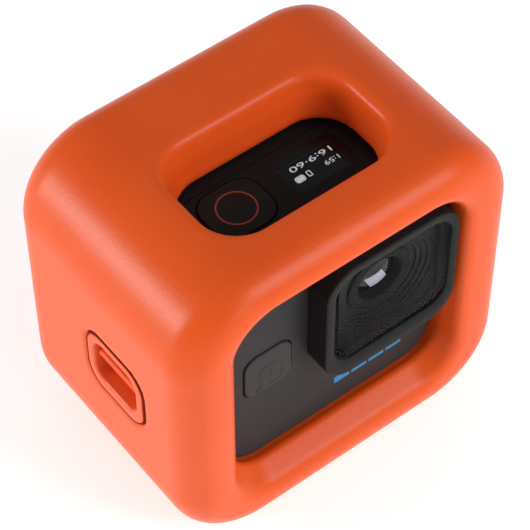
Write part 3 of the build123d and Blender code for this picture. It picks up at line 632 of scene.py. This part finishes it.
# ---------------------------------------------------------------- lens and its square cover
def lens_cover():
    """Frame, pane and the pane's black border, which is print all round and wider below and on the left as
    painted shade.
    """
    front, size = boxed("cover_frame")
    pane_front, pane = boxed("cover_glass")
    width, deep = size.x, size.y
    edge, corner, edge_steps = 0.35, 7.0, 5
    rings = [(width, width, corner, deep)]
    for i in range(edge_steps + 1):
        a = math.radians(90 * i / edge_steps)
        less = edge * (1 - math.cos(a))
        rings.append((width - 2 * less, width - 2 * less, corner - less, edge * (1 - math.sin(a))))
    # the opening from front to back: a chamfer, the pane's bed, a ledge behind it and a socket
    opening = (
        (0.7, 5.35, 0.0), (0.2, 5.1, 0.12), (0.08, 5.04, 0.4), (0.08, 5.04, 1.5),
        (-2.6, 4.0, 1.5), (-2.6, 4.0, 2.35), (0.6, 5.3, 2.35), (0.6, 5.3, deep),
    )
    shift = ((pane_front.x - front.x) / MM, (pane_front.z - front.z) / MM)
    rings += [(pane.x + more, pane.z + more, r, depth, *shift) for more, r, depth in opening]
    frame_piece = stepped("lens_cover_frame", "front", front, rings, hollow=True)
    finish(frame_piece, TRIM, "lens_cover", "cover_frame", slot="trim_plastic")

    # the pane from back to front, with its front edge softened
    centre = Vector((pane_front.x, front.y, pane_front.z))
    pane_r, print_top, print_low = 5.0, 0.62, 0.68
    sheet = [
        (pane.x - less, pane.z - less, pane_r - less / 2, depth)
        for less, depth in ((0.0, print_top - 0.04), (0.0, 0.34), (0.12, 0.22), (0.5, 0.14))
    ]
    pane_piece = stepped("lens_cover_pane", "front", centre, sheet)
    finish(pane_piece, COVER_PANE, "lens_cover", "cover_glass", slot="cover_glass")

    # the black border just behind the pane: print all round, and wider below and on the left as painted
    # shade
    # the wide sides below and on the left are painted shade of the walls behind the pane
    left, right, low, high = 1.15, 0.25, 2.7, 0.25
    inner = (pane.x - left - right, pane.z - low - high, 3.6)
    inner_shift = ((left - right) / 2, (low - high) / 2)
    outer = (pane.x - 0.02, pane.z - 0.02, pane_r)
    border = [
        (*outer, print_top), (*outer, print_low), (*inner, print_low, *inner_shift),
        (*inner, print_top, *inner_shift),
    ]
    finish(stepped("pane_border", "front", centre, border, hollow=True), PRINT_AND_SHADE, "lens_cover")


def lens_parts():
    """Stepped baffle, grooved collar and domed front glass, all about the lens axis."""
    front, size = boxed("lens_housing")
    wide, tall = size.x - 0.1, size.z - 0.1
    rim = size.z / 2 - 0.35
    bore, flange = 7.75, 9.9
    face = 3.2          # from the baffle's front back to the camera's face
    rings = [(wide, tall, 5.0, face), (wide, tall, 5.0, 0.25), (wide - 0.4, tall - 0.4, 4.8, 0.0)]
    steps_in = (
        (0.0, 0.0), (0.12, 0.42), (1.2, 0.46), (1.3, 0.86),
        (2.3, 0.92), (2.42, 1.32), (3.4, 1.36), (3.5, 1.75),
    )
    rings += [circle(rim - less, depth) for less, depth in steps_in]
    rings += [circle(bore, 1.8), circle(bore, size.y), circle(flange, size.y), circle(flange, face)]
    baffle = stepped("lens_baffle", "front", front, rings, hollow=True, steps=24)
    finish(baffle, BAFFLE, "camera", "lens_housing", slot="lens_black")

    collar_front, _ = boxed("lens_ring")
    thick, chamfer, groove = 0.4, 0.22, 0.06
    collar = [
        (5.45, thick), (5.45, chamfer), (5.75, 0.0), (6.35, 0.0), (6.4, groove), (6.46, 0.0), (7.05, 0.0),
        (7.1, groove), (7.16, 0.0), (7.6, 0.0), (7.85, chamfer), (7.85, thick),
    ]
    finish(turned("lens_collar", collar_front, collar), TRIM, "camera", "lens_ring", slot="trim_plastic")

    glass_front, glass = boxed("front_element")
    radius, curve, dome_steps = glass.x / 2 - 0.02, 8.0, 24
    reaches = [radius * i / dome_steps for i in range(dome_steps + 1)]
    dome = [(r, curve - math.sqrt(curve ** 2 - r ** 2)) for r in reaches]
    lens = turned("front_lens", glass_front, dome + [(radius, glass.y), (0.0, glass.y)], 128)
    finish(lens, LENS, "camera", "front_element", slot="lens_glass")


# ---------------------------------------------------------------- marks and readout
def stroke_mesh(name, facing, centre, strokes, width, deep, flat):
    """Runs of (u, v) points in millimetres as rods, pressed to a share of their thickness."""
    line = bpy.data.curves.new(name, "CURVE")
    line.dimensions = "3D"
    line.bevel_depth = width / 2
    line.bevel_resolution = 2
    line.use_fill_caps = True
    for points in strokes:
        spline = line.splines.new("POLY")
        spline.points.add(len(points) - 1)
        for point, (u, v) in zip(spline.points, points):
            point.co = (u, v, 0.0, 1.0)
    piece = evaluated(new_object(name + " line", line), name)
    place = FACING[facing]
    for vert in piece.data.vertices:
        u, v, d = vert.co
        vert.co = place(centre, u * MM, v * MM, (deep - d * flat) * MM)
    bm = bmesh.new()
    bm.from_mesh(piece.data)
    bmesh.ops.recalc_face_normals(bm, faces=bm.faces)
    bm.to_mesh(piece.data)
    bm.free()
    return shaded(piece)


def bow(cu, cv, r, start, end):
    """Points along an arc from one angle to another, in degrees."""
    steps = 6
    turns = [math.radians(start + (end - start) * i / steps) for i in range(steps + 1)]
    return [(cu + r * math.cos(turn), cv + r * math.sin(turn)) for turn in turns]


def status_icon():
    """A generic sign on the small front button: an open rounded frame, a bar and a star."""
    front, _ = boxed("status_button")
    half_w, half_h, r = 2.65, 3.05, 1.2
    u0, v0 = 0.6, -1.5
    left, right, low, high = u0 - half_w, u0 + half_w, v0 - half_h, v0 + half_h
    top = [(left, v0 - 1.4)] + bow(left + r, high - r, r, 180, 90) + [(u0 + 1.3, high)]
    side = [(right, high - 0.3)] + bow(right - r, low + r, r, 0, -90) + [(left + 1.9, low)]
    bar = [(u0 + 0.35, v0 + 1.3), (u0, v0 + 1.3), (u0, v0 - 0.9), (u0 - 0.35, v0 - 0.9)]
    star_u, star_v, reach = left - 0.2, low + 0.1, 0.95
    star = []
    for turn in (90, 30, -30):
        a = math.radians(turn)
        du, dv = reach * math.cos(a), reach * math.sin(a)
        star.append([(star_u - du, star_v - dv), (star_u + du, star_v + dv)])
    piece = stroke_mesh("status_icon", "front", front, [top, side, bar] + star, 0.42, 0.0, 0.3)
    finish(piece, ICON, "status")


def lettering(name, words, right, left, middle, height):
    """Generic figures on the small screen, read from behind the camera, from x = right to x = left."""
    text = bpy.data.curves.new(name, "FONT")
    text.body = words
    text.extrude = 0.01
    piece = evaluated(new_object(name + " type", text), name)
    us = [v.co.x for v in piece.data.vertices]
    vs = [v.co.y for v in piece.data.vertices]
    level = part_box("status_panel")[1].z / MM + 0.04
    for vert in piece.data.vertices:
        u = (vert.co.x - min(us)) / (max(us) - min(us))
        v = (vert.co.y - min(vs)) / (max(vs) - min(vs))
        vert.co = Vector((right - (right - left) * u, middle + height * (0.5 - v), level + vert.co.z)) * MM
    finish(piece, READOUT, "camera")


def screen_sign(name, x0, x1, y0, y1, r, line=None):
    """A small lit patch with rounded corners, or its outline where a line width is given."""
    centre = Vector(((x0 + x1) / 2 * MM, (y0 + y1) / 2 * MM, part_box("status_panel")[1].z))
    w, h = x1 - x0, y1 - y0
    foot, face = -0.02, -0.05
    rings = [(w, h, r, foot), (w, h, r, face)]
    if line:
        rings += [(w - 2 * line, h - 2 * line, r, face), (w - 2 * line, h - 2 * line, r, foot)]
    finish(stepped(name, "top", centre, rings, hollow=bool(line), steps=4), READOUT, "camera")


def readout():
    """Two rows of figures with a card sign and a battery sign."""
    lettering("readout_mode", "16:9\u00b760", 15.6, 5.6, -0.95, 1.35)
    lettering("readout_time", "1:59", 15.6, 12.2, -3.55, 1.15)
    screen_sign("card_sign", 7.75, 8.75, -4.35, -2.85, 0.2, line=0.2)
    screen_sign("battery_sign", 4.9, 7.1, -4.5, -2.9, 0.6, line=0.2)
    screen_sign("battery_level", 5.2, 6.8, -4.2, -3.2, 0.35)


# ---------------------------------------------------------------- tether insert in the case's left side
def tether_insert():
    """Hard insert with a softly edged recess, a round bar across it and a dark ring of painted shade in the
    seam about it.
    """
    size = (ANCHOR_HIGH - ANCHOR_LOW) / MM
    centre = Vector((ANCHOR_LOW.x, ANCHOR_MID.y, ANCHOR_MID.z))
    wide, tall, corner, recess = size.y - 0.3, size.z - 0.3, INSERT_R / MM, 6.6
    rings = [
        (wide, tall, corner, size.x), (wide, tall, corner, 0.3), (wide - 0.2, tall - 0.2, corner - 0.1, 0.1),
        (wide - 0.6, tall - 0.6, corner - 0.3, 0.02),
    ]
    recess_lift = (0.0, 0.4)
    recess_rings = (
        (14.5, 11.8, 3.7, 0.02), (13.9, 11.2, 3.4, 0.14), (13.5, 10.8, 3.2, 0.55),
        (13.4, 10.7, 3.1, recess - 1.0), (12.8, 10.1, 2.8, recess - 0.25), (11.8, 9.1, 2.3, recess),
    )
    rings += [(*ring, *recess_lift) for ring in recess_rings]
    block = stepped("tether_insert", "left", centre, rings, steps=14, smooth_angle=50)
    finish(block, INSERT, "case", "tether_anchor", slot="anchor_plastic")

    bar_d, bar_up, bar_deep, half = 2.5, 0.75, 2.15, 6.85
    rod = [[(-half, bar_up), (half, bar_up)]]
    bar = stroke_mesh("tether_bar", "left", centre, rod, bar_d, bar_deep, 1.0)
    finish(bar, INSERT, "case", "tether_anchor", slot="anchor_plastic")

    # painted shade: a dark ring of shaded foam colour in the gap round the insert
    inner, outer = (wide + 0.02, tall + 0.02, corner), (wide + 0.32, tall + 0.32, corner + 0.15)
    face, foot = 0.01, 2.0
    seam = [(*inner, foot), (*inner, face), (*outer, face), (*outer, foot)]
    line = stepped("insert_seam", "left", centre, seam, hollow=True, steps=14)
    finish(line, SEAM_SHADE, "case", "tether_anchor")


tether_insert()
lens_cover()
lens_parts()
status_icon()
readout()


# ---------------------------------------------------------------- cooling ribs and screws, made by rule
class Repeat(Tree):
    """A geometry tree whose named inputs are sizes in metres or counts."""

    def __init__(self, name, **inputs):
        group = bpy.data.node_groups.new(name, "GeometryNodeTree")
        super().__init__(group)
        group.interface.new_socket("Geometry", in_out="OUTPUT", socket_type="NodeSocketGeometry")
        for key, value in inputs.items():
            kind = "NodeSocketInt" if isinstance(value, int) else "NodeSocketFloat"
            socket = group.interface.new_socket(key.replace("_", " "), in_out="INPUT", socket_type=kind)
            socket.default_value = value
        self.start = self.add("NodeGroupInput").outputs

    def vector(self, x=0.0, y=0.0, z=0.0):
        """A vector from values or sockets."""
        return self.add("ShaderNodeCombineXYZ", X=x, Y=y, Z=z).outputs[0]

    def close(self, geometry, look):
        """Ends the tree with real geometry in its material."""
        real = self.add("GeometryNodeRealizeInstances", i0=geometry)
        flat = self.add("GeometryNodeSetShadeSmooth", i0=real.outputs[0], Shade_Smooth=False)
        dressed = self.add("GeometryNodeSetMaterial", i0=flat.outputs[0], Material=look)
        self.tree.links.new(dressed.outputs[0], self.add("NodeGroupOutput").inputs[0])

    def mesh(self, name):
        """What the tree makes, as a plain mesh object."""
        holder = new_object(name + " source", bpy.data.meshes.new(name + " source"))
        holder.modifiers.new(name, "NODES").node_group = self.tree
        return evaluated(holder, name)


def upright_bar(t, wide, deep, edge, low, high):
    """A rounded bar standing from low to high, as a curve given a rounded section."""
    section = t.add("GeometryNodeCurvePrimitiveQuadrilateral", Width=wide, Height=deep)
    soft = t.add("GeometryNodeFilletCurve", {"mode": "POLY"}, Curve=section.outputs[0], Radius=edge, Count=3)
    line = t.add("GeometryNodeCurvePrimitiveLine", Start=t.vector(z=low), End=t.vector(z=high))
    return t.add(
        "GeometryNodeCurveToMesh", Curve=line.outputs[0], Profile_Curve=soft.outputs[0], Fill_Caps=True)


def cooling_plate(where):
    """A plate with upright ribs, for the upper or the lower half of the camera's back."""
    low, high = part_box(f"heat_sink_{where}")
    rib_height, base_edge, overlap = 1.5 * MM, 0.08 * MM, 0.02 * MM
    t = Repeat(
        f"cooling plate {where}", Ribs=12, Width=high.x - low.x, Rib_width=1.2 * MM, Rib_height=rib_height,
        Rounding=0.22 * MM, Low=low.z, High=high.z, Back=high.y,
    )
    s = t.start
    rib = upright_bar(t, s["Rib width"], s["Rib height"], s["Rounding"], s["Low"], s["High"])
    base_depth = high.y - low.y - rib_height
    base = upright_bar(t, s["Width"], base_depth, base_edge, s["Low"], s["High"])
    span = t.math("SUBTRACT", s["Width"], s["Rib width"])
    pitch = t.math("DIVIDE", span, t.math("SUBTRACT", s["Ribs"], 1.0))
    rib_y = t.math("SUBTRACT", s["Back"], t.math("MULTIPLY", s["Rib height"], 0.5))
    start = t.vector(x=t.math("MULTIPLY", span, -0.5), y=rib_y)
    row = t.add(
        "GeometryNodeMeshLine", {"mode": "OFFSET"}, Count=s["Ribs"], Start_Location=start,
        Offset=t.vector(x=pitch),
    )
    ribs = t.add("GeometryNodeInstanceOnPoints", Points=row.outputs[0], Instance=rib.outputs[0])
    base_y = t.math("SUBTRACT", t.math("SUBTRACT", s["Back"], s["Rib height"]), base_depth / 2 - overlap)
    moved = t.add("GeometryNodeTransform", Geometry=base.outputs[0], Translation=t.vector(y=base_y))
    both = t.add("GeometryNodeJoinGeometry")
    t.tree.links.new(ribs.outputs[0], both.inputs[0])
    t.tree.links.new(moved.outputs[0], both.inputs[0])
    t.close(both.outputs[0], ANODISED)
    piece = shaded(t.mesh(f"cooling_plate_{where}"), 40)
    finish(piece, ANODISED, "camera", f"heat_sink_{where}", slot="black_metal")


def back_screws():
    """Four hex-socket screws at the corners of the camera's back."""
    names = [f"back_screw_{i}" for i in range(1, 5)]
    boxes = [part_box(name) for name in names]
    middles = [(low + high) / 2 for low, high in boxes]
    heights = [middle.z for middle in middles]
    reach_x = max(middle.x for middle in middles)
    reach_z = (max(heights) - min(heights)) / 2
    t = Repeat(
        "back screws", Head_radius=1.68 * MM, Head_height=1.28 * MM, Socket_radius=0.75 * MM,
        Socket_depth=0.8 * MM, Shank_radius=0.88 * MM, Reach_X=reach_x, Reach_Z=reach_z,
        Back=boxes[0][1].y,
    )
    s = t.start
    chamfer, overlap, shank, above = 0.22 * MM, 0.001 * MM, 4.0 * MM, 0.3 * MM

    def drum(sides, radius, top, depth, tip=None):
        """A prism down from top, narrower at its upper end where a tip radius is given."""
        made = t.add(
            "GeometryNodeMeshCone", Vertices=sides, Radius_Top=radius if tip is None else tip,
            Radius_Bottom=radius, Depth=depth,
        )
        down = t.vector(z=t.math("SUBTRACT", top, depth))
        return t.add("GeometryNodeTransform", Geometry=made.outputs[0], Translation=down).outputs[0]

    rim = t.math("SUBTRACT", s["Head radius"], chamfer)
    body_height = t.math("SUBTRACT", s["Head height"], chamfer)
    shank_top = t.math("MULTIPLY", s["Head height"], -0.9)
    parts = [
        drum(48, s["Head radius"], 0.0, chamfer, rim),
        drum(48, s["Head radius"], -chamfer + overlap, body_height),
        drum(32, s["Shank radius"], shank_top, shank),
    ]
    joined = t.add("GeometryNodeMeshBoolean", {"operation": "UNION", "solver": "EXACT"})
    for part in parts:
        t.tree.links.new(part, joined.inputs["Mesh 2"])
    hex_cut = drum(6, s["Socket radius"], above, t.math("ADD", s["Socket depth"], above))
    cut = t.add("GeometryNodeMeshBoolean", {"operation": "DIFFERENCE", "solver": "EXACT"})
    t.tree.links.new(joined.outputs[0], cut.inputs["Mesh 1"])
    t.tree.links.new(hex_cut, cut.inputs["Mesh 2"])
    places = t.add(
        "GeometryNodeMeshGrid", Size_X=t.math("MULTIPLY", s["Reach X"], 2.0),
        Size_Y=t.math("MULTIPLY", s["Reach Z"], 2.0), Vertices_X=2, Vertices_Y=2,
    )
    heads = t.add("GeometryNodeInstanceOnPoints", Points=places.outputs[0], Instance=cut.outputs[0])
    stood = t.add(
        "GeometryNodeTransform", Geometry=heads.outputs[0], Rotation=(-math.pi / 2, 0, 0),
        Translation=t.vector(y=s["Back"], z=sum(heights) / len(heights)),
    )
    t.close(stood.outputs[0], STEEL)
    finish(shaded(t.mesh("back_screws"), 30), STEEL, "camera", *names, slot="steel")


for half in ("upper", "lower"):
    cooling_plate(half)
back_screws()


# ---------------------------------------------------------------- softened copies of the other visible parts
def soften(node, name, look, body, slot, bevel):
    """A visible CAD part with its edges broken by a bevel in millimetres."""
    finish(refined(node, name, bevel * MM), look, body, node, slot=slot)


SIDES = [(where, side) for where in ("low", "back") for side in ("left", "right")]
soften("shutter_button", "shutter_cap", BUTTON, "shutter", "button_plastic", 0.05)
soften("status_button", "status_cap", BUTTON, "status", "button_plastic", 0.05)
soften("door_panel", "side_door", BODY, "door", "body_plastic", 0.15)
soften("door_latch", "door_slider", BUTTON, "latch", "button_plastic", 0.1)
soften("front_shell", "camera_front", BODY, "camera", "body_plastic", 0.12)
soften("back_shell", "camera_back", BODY, "camera", "body_plastic", 0.12)
for where, side in SIDES:
    finger = f"{where}_finger_{side}"
    soften(finger, f"{where}_mount_finger_{side}", TRIM, finger, "trim_plastic", 0.3)


# ---------------------------------------------------------------- every CAD node that stays gets its finish
LOOKS = {
    "tether_anchor": INSERT, "front_shell": BODY, "back_shell": BODY, "shell_seal": RUBBER,
    "heat_sink_upper": ANODISED, "heat_sink_lower": ANODISED,
    "lens_housing": BLACK, "lens_barrel": BLACK, "lens_ring": BLACK,
    "front_element": LENS, "rear_element": LENS, "image_sensor": CHIP, "sensor_board": BOARD,
    "cover_frame": TRIM, "cover_glass": COVER_PANE, "cover_seal": RUBBER,
    "shutter_button": BUTTON, "shutter_ring": RING_RED, "shutter_switch": CHIP,
    "button_board": BOARD, "status_button": BUTTON, "status_switch": CHIP, "status_board": BOARD,
    "status_glass": SCREEN, "status_panel": PANEL, "door_panel": BODY, "door_latch": BUTTON,
    "door_seal": RUBBER, "door_pin": STEEL, "charging_port": STEEL, "card_reader": STEEL,
    "memory_card": CARD, "battery": WRAP, "battery_pad": PAD, "main_board": BOARD,
    "processor": CHIP, "heat_spreader": COPPER, "speaker": CHIP, "microphone": STEEL,
}
for kind, look in (("back_screw", STEEL), ("accent_dash", BLUE)):
    for number in range(1, 5):
        LOOKS[f"{kind}_{number}"] = look
for where, side in SIDES:
    LOOKS[f"{where}_finger_{side}"] = TRIM
    LOOKS[f"{where}_pin_{side}"] = STEEL
for node, look in LOOKS.items():
    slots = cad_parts[node].data.materials
    slots.clear()
    slots.append(look)


# ---------------------------------------------------------------- floor, light and camera
def stage_floor():
    """A plain pale floor, a little lit of itself."""
    made, tree, shader = material(
        "pale floor", Roughness=0.9, Specular_IOR_Level=0.1,
        Emission_Color=(1, 1, 1, 1), Emission_Strength=0.5,
    )
    cloud = tree.add("ShaderNodeTexNoise", Vector=object_place(tree), Scale=2.0)
    dull, bright = (0.93, 0.93, 0.93), (0.95, 0.95, 0.95)
    tree.put(shader, "Base Color", tree.ramp(cloud.outputs[0], (0.3, dull), (0.7, bright)))
    bm = bmesh.new()
    bmesh.ops.create_grid(bm, x_segments=8, y_segments=8, size=3.0)
    floor = from_bmesh("floor", bm)
    floor.data.materials.append(made)


def soft_light(name, place, size, power):
    """A rectangular light turned to the case, with its place and size in metres."""
    light = bpy.data.lights.new(name, "AREA")
    light.shape = "RECTANGLE"
    light.size, light.size_y = size
    light.energy = power
    lamp = bpy.data.objects.new(name, light)
    bpy.context.scene.collection.objects.link(lamp)
    lamp.location = place
    lamp.rotation_euler = (CASE_MID - lamp.location).to_track_quat("-Z", "Y").to_euler()


def studio():
    """An even white surround and three soft lights."""
    world = bpy.data.worlds.new("studio")
    bpy.context.scene.world = world
    world.use_nodes = True
    sky = world.node_tree.nodes["Background"].inputs
    sky["Color"].default_value = (1, 1, 1, 1)
    sky["Strength"].default_value = 0.32
    soft_light("left strip", (-0.80, 0.47, 0.27), (0.16, 0.36), 5.2)
    soft_light("front right card", (0.36, -0.74, 0.55), (0.40, 0.40), 4.4)
    soft_light("lens card", (0.02, -0.95, 0.26), (0.11, 0.08), 0.7)
    bpy.context.scene.view_settings.view_transform = "Standard"


def view_camera():
    """A long lens that looks down on the front, left and top of the case."""
    azimuth, elevation, roll = math.radians(-37.56), math.radians(51.516), math.radians(-0.218)
    stand = Vector((0.13, -0.24, 448.74)) * MM      # sideways, up and back from the case's middle
    turn = (
        Matrix.Rotation(azimuth, 4, "Z")
        @ Matrix.Rotation(math.pi / 2 - elevation, 4, "X")
        @ Matrix.Rotation(roll, 4, "Z")
    )
    lens = bpy.data.cameras.new("camera")
    lens.sensor_width = 36.0
    lens.lens = 151.73
    lens.clip_start = 0.01
    camera = bpy.data.objects.new("camera", lens)
    bpy.context.scene.collection.objects.link(camera)
    camera.matrix_world = Matrix.Translation(CASE_MID + turn @ stand) @ turn
    bpy.context.scene.camera = camera


stage_floor()
studio()
view_camera()
